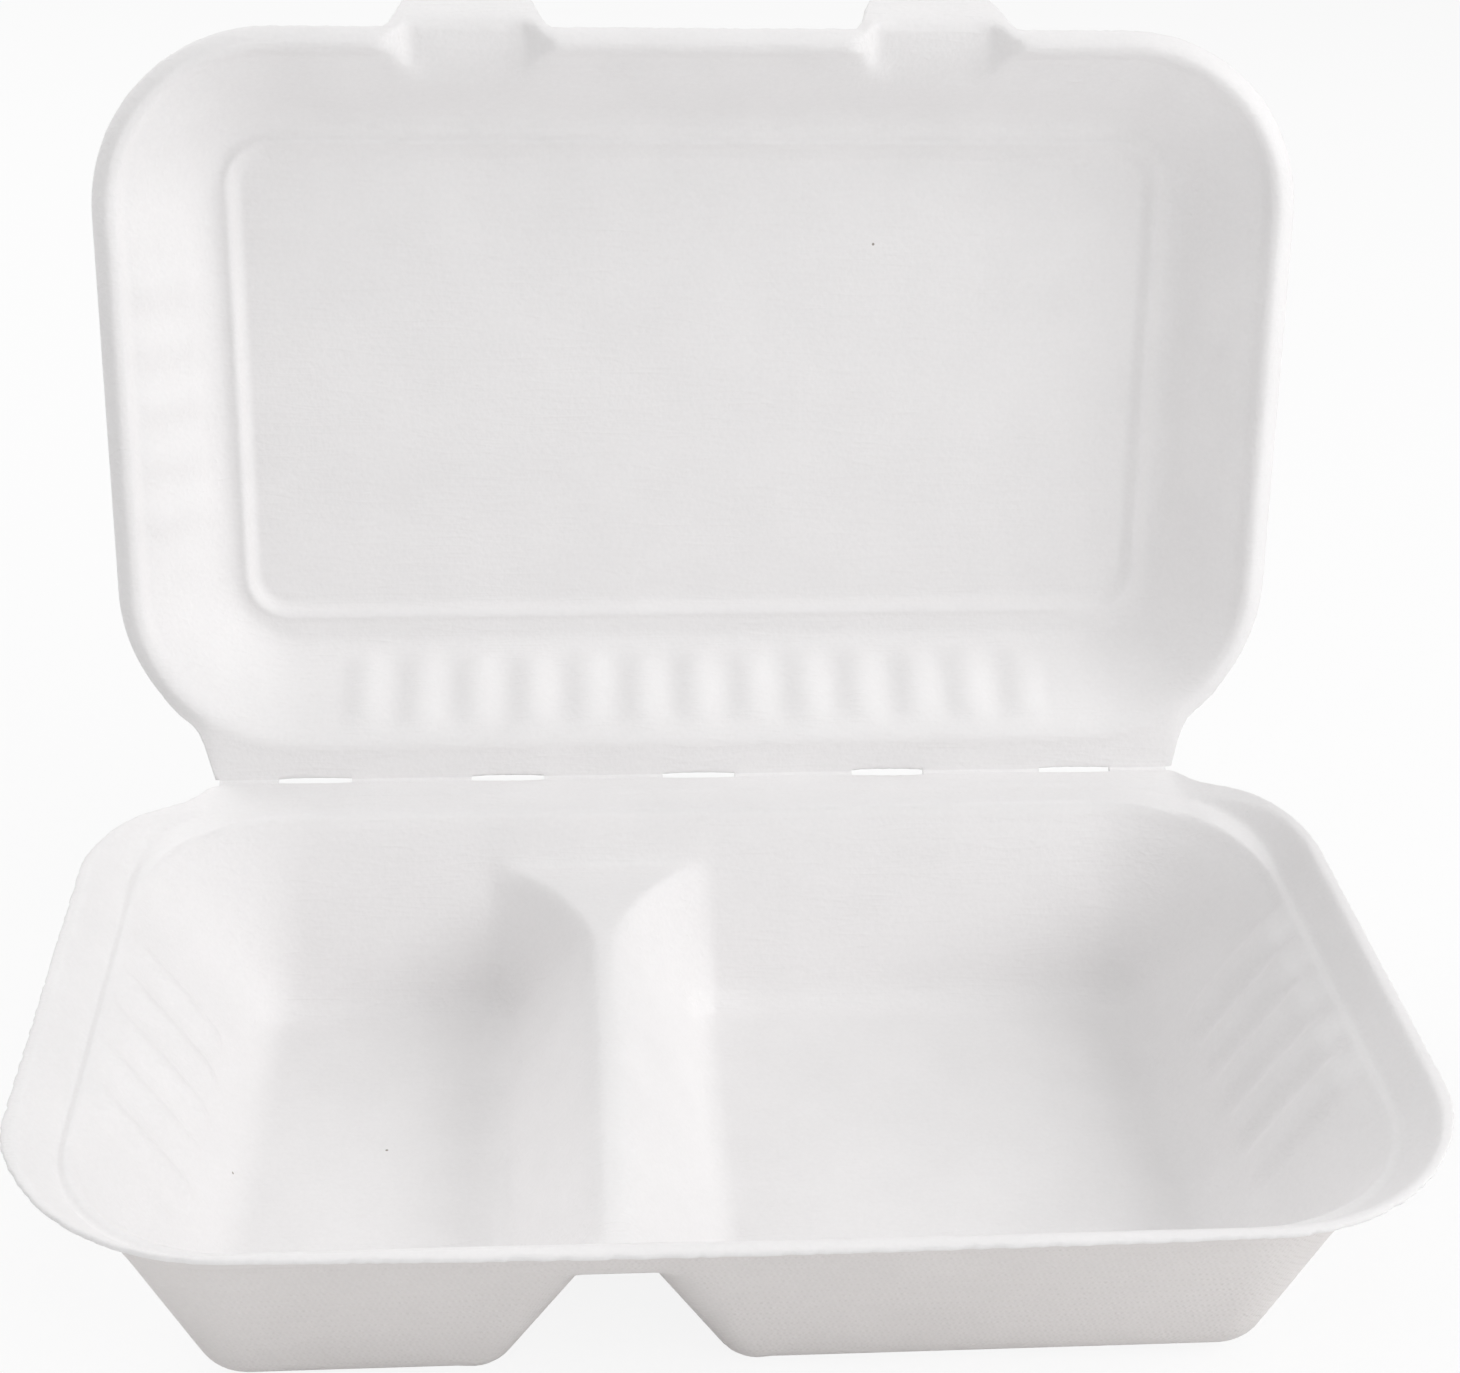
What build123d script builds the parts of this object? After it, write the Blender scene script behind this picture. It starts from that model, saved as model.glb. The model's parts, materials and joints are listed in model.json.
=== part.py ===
"""Hinged two-compartment lunch box pressed from sugar-cane pulp, standing open on its tray.

The frame has its origin on the table under the middle of the tray, +X along the fold line of the
lid, +Y towards the fold and +Z up. All sizes are in millimetres and give the upper, smooth face of
the sheet, which is the face that touches the food.
"""
import os
from dataclasses import dataclass
from math import asin, atan, cos, degrees, radians, sin, tan

from build123d import *

os.makedirs("parts", exist_ok=True)

# Pressed sheet
tray_sheet = 1.1
lid_sheet = 0.9
fold_gap = 0.3
nest_clearance = 0.3

# Tray: plan, height and the stepped rim that the lid nests in
tray_length = 250.0
tray_depth = 160.6
tray_height = 45.0
lip_corner_radius = 41.0
lip_width = 2.0
band_run = 5.5
band_rise = 4.0
ledge_inset = 10.0
flange_depth = 14.5
flange_length = 206.6
run_out = 11.0

# Tray: drafted walls, floor and the ridge between the two compartments
end_draft = 31.0
side_draft = 19.0
corner_lean = 44.0
corner_point_depth = 8.4
ridge_front_lean = 15.0
ridge_front_point_depth = 25.0
ridge_rear_lean = 56.0
ridge_rear_point_depth = 5.6
floor_fillet = 6.0
ridge_x = -21.5
ridge_width = 6.0
ridge_height = 30.0

# Lid: nested rim, drafted wall, flat ring and embossed panel
lid_depth = 22.0
lid_draft = 35.0
crest_width = 2.0
rim_run = 3.7
panel_step = 2.2
panel_draft = 45.0
ring_width = 4.8
ring_width_back = 7.0
panel_corner_radius = 9.0
lid_bevel_width = 2.6
lid_bevel_draft = 62.5
open_angle = 98.4

# Lid: pair of closing tabs that reach over the front lip
tab_spacing = 92.6
tab_width = 23.0
tab_reach = 5.0
tab_lift = 0.6
tab_flank = 45.0

# Stiffening ribs pressed into the walls
rib_crest_width = 2.8
rib_height = 1.4
rib_draft = 60.0
rib_pitch = 11.9
end_rib_count = 5
back_rib_count = 13
tray_rib_length = 21.0
lid_rib_length = 12.0
tray_rib_drop = 18.0

# Slits that weaken the fold line
slit_count = 5
slit_pitch = 41.0
slit_length = 16.5
slit_width = 1.7
slit_point = 3.5

# Places that follow from the sizes above
fold_y = tray_depth / 2
ledge_z = tray_height - band_rise
fold_z = ledge_z + fold_gap / 2
floor_z = tray_sheet
band_angle = atan(band_run / band_rise)
wall_top_x = tray_length / 2 - ledge_inset
wall_top_front = -tray_depth / 2 + ledge_inset
wall_top_rear = fold_y - flange_depth
overcut = 5.0


@dataclass(frozen=True)
class Outline:
    """Rounded rectangle at one height."""

    x_low: float
    x_high: float
    y_low: float
    y_high: float
    radius: float
    z: float

    def widened(self, ends, sides, corner, rise=0.0):
        """The outline moved outwards at its ends, its sides and its corners, and raised."""
        return Outline(self.x_low - ends, self.x_high + ends, self.y_low - sides, self.y_high + sides,
                       self.radius + corner, self.z + rise)

    def sketch(self):
        """The outline as a filled sketch at its height."""
        with BuildSketch(Plane.XY.offset(self.z)) as face:
            with Locations(((self.x_low + self.x_high) / 2, (self.y_low + self.y_high) / 2)):
                RectangleRounded(self.x_high - self.x_low, self.y_high - self.y_low, self.radius)
        return face.sketch


def tapered(low, high):
    """Solid with drafted walls from one outline up to another that runs evenly round it."""
    rise = high.z - low.z
    with BuildPart() as body:
        extrude(low.sketch(), amount=rise, taper=degrees(atan((low.radius - high.radius) / rise)))
    return body.part


def rib_bars(places, length, grow):
    """Bars with sloping sides that press the ribs into a wall, one on each plane given."""
    lean = radians(rib_draft)
    trim = 2 * grow * (1 / cos(lean) - tan(lean))
    depth = 2 * rib_height
    spread = 2 * depth * tan(lean) - trim
    with BuildPart() as bar:
        with BuildSketch(Plane.XY.offset(rib_height - grow - depth)):
            Rectangle(rib_crest_width + spread, length + spread)
        extrude(amount=depth, taper=rib_draft)
    with BuildPart() as bars:
        with Locations(*places):
            add(bar.part)
    return bars.part


def inward_normal(outwards, draft):
    """Normal of a drafted wall, towards the food."""
    return Vector(0, 0, sin(radians(draft))) - outwards * cos(radians(draft))


def wall_plane(point, outwards, draft):
    """Plane on the food side of a drafted wall, with its second direction up the wall."""
    return Plane(origin=point, x_dir=Vector(0, 0, 1).cross(outwards), z_dir=inward_normal(outwards, draft))


def rib_row(count):
    """Places of the ribs along a wall, centred on its middle."""
    return [(index - (count - 1) / 2) * rib_pitch for index in range(count)]


# Tray

lip_edge = Outline(-tray_length / 2, tray_length / 2, -tray_depth / 2, tray_depth / 2,
                   lip_corner_radius, tray_height)
band_foot = lip_edge.widened(-lip_width - band_run, -lip_width - band_run, -lip_width - band_run, -band_rise)


def wall_shift(z, draft, grow):
    """How far a drafted wall stands outside its place at the ledge."""
    return (z - ledge_z) * tan(radians(draft)) + grow / cos(radians(draft))


def wall_profile(plane, low, high, z_low, z_high, draft, grow):
    """Trapezium between two facing walls, whose tops at the ledge are low and high."""
    foot = wall_shift(z_low, draft, grow)
    head = wall_shift(z_high, draft, grow)
    with BuildSketch(plane) as profile:
        Polygon((low - foot, z_low), (high + foot, z_low), (high + head, z_high), (low - head, z_high),
                align=None)
    return profile.sketch


def corner_cone(by_ridge, y_side):
    """Lean of the cone in a corner and depth of its point: tight in front of the ridge, wide behind it."""
    if not by_ridge:
        return corner_lean, corner_point_depth
    if y_side < 0:
        return ridge_front_lean, ridge_front_point_depth
    return ridge_rear_lean, ridge_rear_point_depth


def rounded_corner(x, y, x_side, y_side, z_low, z_high, grow, by_ridge):
    """Wedge to clear at one corner, and the cone touching both walls that closes it again."""
    lean, point_depth = corner_cone(by_ridge, y_side)
    end_normal = inward_normal(Vector(x_side, 0, 0), end_draft)
    side_normal = inward_normal(Vector(0, y_side, 0), side_draft)
    edge = Vector(x_side * tan(radians(end_draft)), y_side * tan(radians(side_draft)), 1)
    inwards = (end_normal + side_normal).normalized()
    axis = edge.normalized() * cos(radians(lean)) + inwards * sin(radians(lean))
    half_angle = asin(axis.dot(end_normal))
    apex = Vector(x, y, ledge_z) - edge * (ledge_z + point_depth) - axis * (grow / sin(half_angle))
    hand = x_side * y_side
    with BuildPart() as wedge:
        with Locations((apex.X, apex.Y, (z_low + z_high) / 2)):
            Box(tray_depth, tray_depth, z_high - z_low)
        for normal in (end_normal.cross(axis) * hand, axis.cross(side_normal) * hand):
            split(bisect_by=Plane(origin=apex, x_dir=axis, z_dir=normal), keep=Keep.TOP)
    with BuildPart() as sector:
        add(wedge.part)
        with Locations(Plane(origin=apex, x_dir=inwards, z_dir=axis)):
            Cone(0, tray_depth * tan(half_angle), tray_depth, align=(Align.CENTER, Align.CENTER, Align.MIN),
                 mode=Mode.INTERSECT)
    return wedge.part, sector.part


def drafted_box(x_low, x_high, z_low, z_high, grow, bottom_fillet=0.0, ridge_side=0):
    """Space between four drafted walls; x_low and x_high place its end walls at the ledge."""
    with BuildPart() as box:
        extrude(wall_profile(Plane.XZ, x_low, x_high, z_low, z_high, end_draft, grow),
                amount=tray_depth, both=True)
        extrude(wall_profile(Plane.YZ, wall_top_front, wall_top_rear, z_low, z_high, side_draft, grow),
                amount=tray_length, both=True, mode=Mode.INTERSECT)
        for x, x_side in ((x_low, -1), (x_high, 1)):
            for y, y_side in ((wall_top_front, -1), (wall_top_rear, 1)):
                by_ridge = x_side == ridge_side
                wedge, sector = rounded_corner(x, y, x_side, y_side, z_low, z_high, grow, by_ridge)
                add(wedge, mode=Mode.SUBTRACT)
                add(sector)
        if bottom_fillet:
            fillet(box.faces().sort_by(Axis.Z)[0].edges(), bottom_fillet)
    return box.part


def band_level(z, grow):
    """Outline of the flared band at one height."""
    spread = (z - ledge_z) * tan(band_angle) + grow / cos(band_angle)
    return band_foot.widened(spread, spread, spread, z - ledge_z)


def tray_space(grow, top):
    """Space inside the tray up to a height, grown by the sheet for the tray's outside."""
    ridge_top_left = ridge_x - ridge_width / 2 + (ledge_z - ridge_height) * tan(radians(end_draft))
    ridge_top_right = ridge_x + ridge_width / 2 - (ledge_z - ridge_height) * tan(radians(end_draft))
    waist = ridge_height - grow
    rib_x = wall_top_x + wall_shift(ledge_z - tray_rib_drop, end_draft, 0.0)
    rib_points = [
        (side, Vector(side * rib_x, y, ledge_z - tray_rib_drop))
        for side in (-1, 1)
        for y in rib_row(end_rib_count)
    ]
    rib_places = [wall_plane(point, Vector(side, 0, 0), end_draft) for side, point in rib_points]
    with BuildPart() as space:
        for low, high, ridge_side in ((-wall_top_x, ridge_top_left, 1), (ridge_top_right, wall_top_x, -1)):
            add(drafted_box(low, high, floor_z - grow, waist, grow, floor_fillet + grow, ridge_side))
        add(drafted_box(-wall_top_x, wall_top_x, waist, ledge_z, grow))
        add(rib_bars(rib_places, tray_rib_length, grow), mode=Mode.SUBTRACT)
        add(tapered(band_level(ledge_z - grow, grow), band_level(top, grow)))
    return space.part


def fold_gap_block(narrow_z, wide_z, y_low, y_high):
    """Block that clears a rim along the fold, with ends that let the rim run out in a slope."""
    half = flange_length / 2
    with BuildPart() as block:
        with BuildSketch(Plane.XZ.offset(-y_low)):
            Polygon((-half, narrow_z), (half, narrow_z), (half + run_out, wide_z), (-half - run_out, wide_z),
                    align=None)
        extrude(amount=y_low - y_high)
    return block.part


def flange(y_low, y_high, sheet):
    """Flat strip beside the fold line, level with the ledge."""
    with BuildPart() as strip:
        with BuildSketch(Plane.XY.offset(ledge_z)):
            with Locations((0, (y_low + y_high) / 2)):
                Rectangle(flange_length, y_high - y_low)
        extrude(amount=-sheet)
    return strip.part


def slits():
    """Row of short pointed slits along the fold line."""
    tip = slit_length / 2
    half = slit_width / 2
    with BuildPart() as row:
        with BuildSketch(Plane.XY.offset(ledge_z)):
            with Locations((0, fold_y)):
                with GridLocations(slit_pitch, slit_width, slit_count, 1):
                    Polygon((-tip, 0), (slit_point - tip, -half), (tip - slit_point, -half), (tip, 0),
                            (tip - slit_point, half), (slit_point - tip, half), align=None)
        extrude(amount=overcut, both=True)
    return row.part


with BuildPart() as tray:
    add(tray_space(tray_sheet, tray_height - tray_sheet))
    extrude(lip_edge.sketch(), amount=-tray_sheet)
    add(tray_space(0.0, tray_height + overcut), mode=Mode.SUBTRACT)
    add(fold_gap_block(ledge_z, tray_height, wall_top_rear, fold_y + overcut), mode=Mode.SUBTRACT)
    add(flange(wall_top_rear + tray_sheet, fold_y - fold_gap / 2, tray_sheet))
    add(slits(), mode=Mode.SUBTRACT)

# Lid, modelled flat beside the tray as it leaves the press, then turned up about the fold

crest = Outline(band_foot.x_low + nest_clearance, band_foot.x_high - nest_clearance,
                2 * fold_y - band_foot.y_high + nest_clearance, 2 * fold_y - band_foot.y_low - nest_clearance,
                band_foot.radius - nest_clearance, ledge_z)
rim_drop = rim_run / tan(band_angle)
rim_edge = crest.widened(rim_run, rim_run, rim_run, -rim_drop)
ring_z = ledge_z - lid_depth + panel_step
lid_wall_top = crest.widened(-crest_width, -crest_width, -crest_width)
lid_middle_y = (crest.y_low + crest.y_high) / 2
tab_floor_z = 2 * fold_z - tray_height - tab_lift


def lid_wall(z, grow):
    """Outline of the lid's drafted wall at one height."""
    drop = z - ledge_z
    across = drop * tan(radians(lid_draft)) + grow / cos(radians(lid_draft))
    return lid_wall_top.widened(across, across, across, drop)


def lid_bevel(z, grow):
    """Outline of the bevel between the lid's wall and its flat ring at one height."""
    drop = z - ring_z
    across = drop * tan(radians(lid_bevel_draft)) + grow / cos(radians(lid_bevel_draft)) - lid_bevel_width
    return lid_wall(ring_z, 0.0).widened(across, across, across, drop)


def panel_level(z, grow):
    """Outline of the embossed panel at one height."""
    foot = lid_wall(ring_z, 0.0)
    spread = (z - ring_z) * tan(radians(panel_draft)) + grow / cos(radians(panel_draft))
    across = spread - ring_width
    return Outline(foot.x_low - across, foot.x_high + across, foot.y_low - spread + ring_width_back,
                   foot.y_high + across, panel_corner_radius + spread, z)


def lid_rib_places():
    """Planes of the ribs in the lid's back wall and its two end walls."""
    drop = (ledge_z - ring_z) / 2
    lean = drop * tan(radians(lid_draft))
    back = [Vector(x, lid_wall_top.y_low + lean, ledge_z - drop) for x in rib_row(back_rib_count)]
    places = [wall_plane(point, Vector(0, -1, 0), lid_draft) for point in back]
    for side in (-1, 1):
        for y in rib_row(end_rib_count):
            point = Vector(side * (lid_wall_top.x_high - lean), lid_middle_y + y, ledge_z - drop)
            places.append(wall_plane(point, Vector(side, 0, 0), lid_draft))
    return places


def lid_space(grow, top):
    """Space inside the lid up to a height, grown by the sheet for the lid's outside."""
    with BuildPart() as space:
        add(tapered(lid_wall(ring_z - grow, grow), lid_wall(top, grow)))
        add(tapered(lid_bevel(ring_z - grow, grow), lid_bevel(top, grow)), mode=Mode.INTERSECT)
        add(rib_bars(lid_rib_places(), lid_rib_length, grow), mode=Mode.SUBTRACT)
        add(tapered(panel_level(ring_z - panel_step - grow, grow), panel_level(ring_z - grow, grow)))
    return space.part


def trough(x, grow, y_low, y_high, top):
    """Channel of one closing tab, open upwards, with sloping flanks."""
    flank = tan(radians(tab_flank))
    low = tab_floor_z - grow
    half_low = tab_width / 2 + grow / cos(radians(tab_flank)) - grow * flank
    half_top = half_low + (top - low) * flank
    with BuildPart() as channel:
        with BuildSketch(Plane.XZ.offset(-y_low)):
            with Locations((x, 0)):
                Polygon((-half_low, low), (half_low, low), (half_top, top), (-half_top, top), align=None)
        extrude(amount=y_low - y_high)
    return channel.part


def tab_block(x):
    """Outer form of one closing tab, cut off above by the slope of the rim."""
    y_low = lid_wall_top.y_high - overcut
    y_tip = rim_edge.y_high + tab_reach
    y_level = crest.y_high + (ledge_z - tab_floor_z) * tan(band_angle)
    low = tab_floor_z - lid_sheet
    with BuildPart() as block:
        with BuildSketch(Plane.YZ.offset(x)):
            Polygon((y_low, low), (y_tip, low), (y_tip, tab_floor_z), (y_level, tab_floor_z),
                    (crest.y_high, ledge_z), (y_low, ledge_z), align=None)
        extrude(amount=tab_width, both=True)
        add(trough(x, lid_sheet, y_low, y_tip, ledge_z), mode=Mode.INTERSECT)
    return block.part


with BuildPart() as lid:
    slope = tan(band_angle)
    under_run = lid_sheet * slope - lid_sheet / cos(band_angle)
    under = crest.widened(under_run, under_run, under_run, -lid_sheet)
    add(tapered(rim_edge, crest))
    add(tapered(under.widened(band_rise * slope, band_rise * slope, band_rise * slope, -band_rise), under),
        mode=Mode.SUBTRACT)
    add(fold_gap_block(ledge_z, ledge_z - band_rise, fold_y - overcut, crest.y_low), mode=Mode.SUBTRACT)
    add(flange(fold_y + fold_gap / 2, lid_wall_top.y_low, lid_sheet))
    add(lid_space(lid_sheet, ledge_z))
    for x in (-tab_spacing / 2, tab_spacing / 2):
        add(tab_block(x))
    add(lid_space(0.0, ledge_z + overcut), mode=Mode.SUBTRACT)
    trough_end = rim_edge.y_high + tab_reach + overcut
    for x in (-tab_spacing / 2, tab_spacing / 2):
        add(trough(x, 0.0, lid_wall_top.y_high - overcut, trough_end, ledge_z + overcut), mode=Mode.SUBTRACT)
    add(slits(), mode=Mode.SUBTRACT)

fold_axis = Axis((0, fold_y, fold_z), (1, 0, 0))
lid_open = lid.part.rotate(fold_axis, 180.0 - open_angle)

tray.part.label = "tray"
lid_open.label = "lid"
export_step(tray.part, "parts/tray.step")
export_step(lid_open, "parts/lid.step")
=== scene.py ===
"""Dressed model of a hinged lunch box pressed from sugar-cane pulp, open on a pale table.

Shapes are worked out in millimetres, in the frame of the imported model, and become metres when a mesh
is made. The tray and the lid are pressed sheets: each has a food face that is a height over its plan,
and an outer face one sheet thickness behind it. Along the box is X, and across the box is Y.
The lamps, the table and the sizes in the finishes are given in metres.
"""
import json
import logging
import math
from dataclasses import astuple, dataclass, field

import bpy
import numpy as np
from mathutils import Matrix, Vector

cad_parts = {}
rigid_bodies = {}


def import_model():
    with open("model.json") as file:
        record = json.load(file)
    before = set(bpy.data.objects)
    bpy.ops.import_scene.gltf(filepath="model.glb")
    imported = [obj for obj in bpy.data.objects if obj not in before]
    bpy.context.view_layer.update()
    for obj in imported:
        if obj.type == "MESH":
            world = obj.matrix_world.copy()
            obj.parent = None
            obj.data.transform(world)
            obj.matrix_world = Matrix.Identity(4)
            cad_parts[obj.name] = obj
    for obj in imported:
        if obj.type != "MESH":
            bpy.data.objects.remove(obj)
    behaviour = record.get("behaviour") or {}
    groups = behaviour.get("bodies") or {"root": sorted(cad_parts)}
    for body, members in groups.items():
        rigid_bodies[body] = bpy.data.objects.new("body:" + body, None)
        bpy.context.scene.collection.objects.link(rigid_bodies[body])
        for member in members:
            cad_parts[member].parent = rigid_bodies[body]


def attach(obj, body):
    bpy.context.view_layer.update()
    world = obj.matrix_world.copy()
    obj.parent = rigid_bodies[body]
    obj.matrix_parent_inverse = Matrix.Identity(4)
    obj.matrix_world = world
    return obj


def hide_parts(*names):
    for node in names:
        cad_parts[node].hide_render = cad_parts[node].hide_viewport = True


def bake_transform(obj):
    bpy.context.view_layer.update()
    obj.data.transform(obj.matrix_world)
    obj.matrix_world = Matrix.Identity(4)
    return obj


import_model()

LOG = logging.getLogger("lunch_box")
MM = 0.001
TINY = 1e-9
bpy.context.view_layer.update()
Array = np.ndarray
Span = tuple[float, float]
Triple = tuple[float, float, float]
Number = float | Array
Pair = tuple[Number, Number]
Socket = bpy.types.NodeSocket
Sockets = bpy.types.bpy_prop_collection
Tree = bpy.types.NodeTree
Object = bpy.types.Object
Material = bpy.types.Material


def smooth_min(a: Array, b: Array, width: Number) -> Array:
    """Lower of two heights, with the edge between them rounded.

    Args:
        a: First height.
        b: Second height.
        width: Difference in height within which the two run together.

    Returns:
        The rounded lower height.
    """
    near = np.maximum(width - np.abs(a - b), 0.0)
    return np.minimum(a, b) - near * near / (4.0 * np.maximum(width, TINY))


def smooth_max(a: Array, b: Array, width: Number) -> Array:
    """Higher of two heights, with the hollow between them rounded."""
    return -smooth_min(-np.asarray(a), -np.asarray(b), width)


def ease(value: Array, start: float, end: float) -> Array:
    """Smooth step from 0 at start to 1 at end."""
    share = np.clip((np.asarray(value) - start) / (end - start), 0.0, 1.0)
    return share * share * (3.0 - 2.0 * share)


def ease_out(value: Array, start: float, end: float) -> Array:
    """Smooth step from 1 at start to 0 at end."""
    return 1.0 - ease(value, start, end)


def runs(*parts: tuple[float, float, int]) -> Array:
    """Evenly spaced values from a start to an end, one run after another."""
    return np.concatenate([np.linspace(*part) for part in parts])


@dataclass(frozen=True)
class RoundedRectangle:
    """Plan of a pressed wall at one level."""

    LEAST_RADIUS = 8.0
    RADIUS_EASE = 6.0
    CORNER_POINTS = 91

    x_low: Number
    x_high: Number
    y_low: Number
    y_high: Number
    radius: Number
    power: Number = 2.0
    stretch: Number = 1.0

    @property
    def middle(self) -> Pair:
        """Middle of the outline."""
        return (self.x_low + self.x_high) / 2, (self.y_low + self.y_high) / 2

    @property
    def half(self) -> Pair:
        """Half its length along the box and across it."""
        return (self.x_high - self.x_low) / 2, (self.y_high - self.y_low) / 2

    def distance(self, x: Array, y: Array) -> Array:
        """Distance from the outline, negative inside.

        Args:
            x: Places along the box.
            y: Places across the box.

        Returns:
            Signed distance of each place.
        """
        past_x = np.abs(x - self.middle[0]) - self.half[0]
        past_y = np.abs(y - self.middle[1]) - self.half[1]
        reach_x, reach_y = self.radius / self.stretch, self.radius
        share_x = np.maximum(past_x / reach_x + 1.0, 0.0) ** self.power
        share_y = np.maximum(past_y / reach_y + 1.0, 0.0) ** self.power
        total = np.maximum(share_x + share_y, TINY)
        reach = reach_x * share_x + reach_y * share_y
        rounded = (total ** (1 / self.power) - 1.0) * reach / total
        return np.where(total > TINY, rounded, np.maximum(past_x, past_y))

    def inset(self, depth: float) -> "RoundedRectangle":
        """The outline moved inwards, with corners that stay round."""
        kept = float(smooth_max(self.radius - depth, self.LEAST_RADIUS, self.RADIUS_EASE))
        return RoundedRectangle(self.x_low + depth, self.x_high - depth, self.y_low + depth,
                                self.y_high - depth, min(kept, min(self.half) - depth))

    def long_side(self, x: Array, depth: float, side: int) -> Array:
        """Place across the box of one long side, moved inwards, with its round ends.

        Args:
            x: Places along the box.
            depth: How far the side has moved.
            side: Which of the two, 1 for the high one and -1 for the low one.

        Returns:
            Place of the side at each x.
        """
        radius = self.radius - depth
        straight = self.half[0] - self.radius
        over = np.clip(np.abs(x - self.middle[0]) - straight, 0.0, radius)
        start = self.y_high if side > 0 else self.y_low
        return start - side * (depth + radius - np.sqrt(radius ** 2 - over ** 2))

    def points(self, count: int) -> tuple[Array, Array]:
        """Points spread evenly round the outline, from the middle of its +X side.

        Args:
            count: Number of points.

        Returns:
            Their places along and across the box.
        """
        turn = np.radians(np.linspace(0.0, 90.0, self.CORNER_POINTS))
        x_parts, y_parts = [np.array([self.x_high])], [np.array([self.middle[1]])]
        corners = ((self.x_high, self.y_high), (self.x_low, self.y_high),
                   (self.x_low, self.y_low), (self.x_high, self.y_low))
        for quarter, (x_corner, y_corner) in enumerate(corners):
            angle = turn + quarter * math.pi / 2
            x_centre = x_corner - math.copysign(self.radius, x_corner - self.middle[0])
            y_centre = y_corner - math.copysign(self.radius, y_corner - self.middle[1])
            x_parts.append(x_centre + self.radius * np.cos(angle))
            y_parts.append(y_centre + self.radius * np.sin(angle))
        x = np.concatenate(x_parts + [x_parts[0]])
        y = np.concatenate(y_parts + [y_parts[0]])
        length = np.concatenate([[0.0], np.cumsum(np.hypot(np.diff(x), np.diff(y)))])
        places = np.arange(count) / count * length[-1]
        return np.interp(places, length, x), np.interp(places, length, y)


@dataclass(frozen=True)
class RibRow:
    """Row of ribs pressed into a wall, with the name that its attributes start with."""

    name: str
    count: int
    length: float
    height: float
    pitch: float = 11.9
    crest_half: float = 0.2
    foot_half: float = 5.8
    fade: float = 6.5

    @staticmethod
    def fields(name: str, along: Array, up: Array, zone: Array) -> dict[str, Array]:
        """Attributes that place a row on a sheet.

        Args:
            name: Name of the row.
            along: Place of each point along the row.
            up: Place of each point up the wall.
            zone: How much of the rib each point takes part in.

        Returns:
            The attributes by name.
        """
        return {f"{name}_along": along, f"{name}_up": up, f"{name}_zone": zone}


def add_object(name: str, data: bpy.types.ID) -> Object:
    """A new object in the scene."""
    made = bpy.data.objects.new(name, data)
    bpy.context.scene.collection.objects.link(made)
    return made


def store(mesh: bpy.types.Mesh, name: str, kind: str, domain: str, values: Array) -> None:
    """Stores a named attribute on a mesh.

    Args:
        mesh: Mesh that carries it.
        name: Name of the attribute.
        kind: Data type.
        domain: POINT or FACE.
        values: One value, or one vector, for each element.
    """
    attribute = mesh.attributes.new(name, kind, domain)
    key = "vector" if kind == "FLOAT_VECTOR" else "value"
    dtype = bool if kind == "BOOLEAN" else np.float32
    attribute.data.foreach_set(key, np.ascontiguousarray(values, dtype=dtype).ravel())


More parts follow.
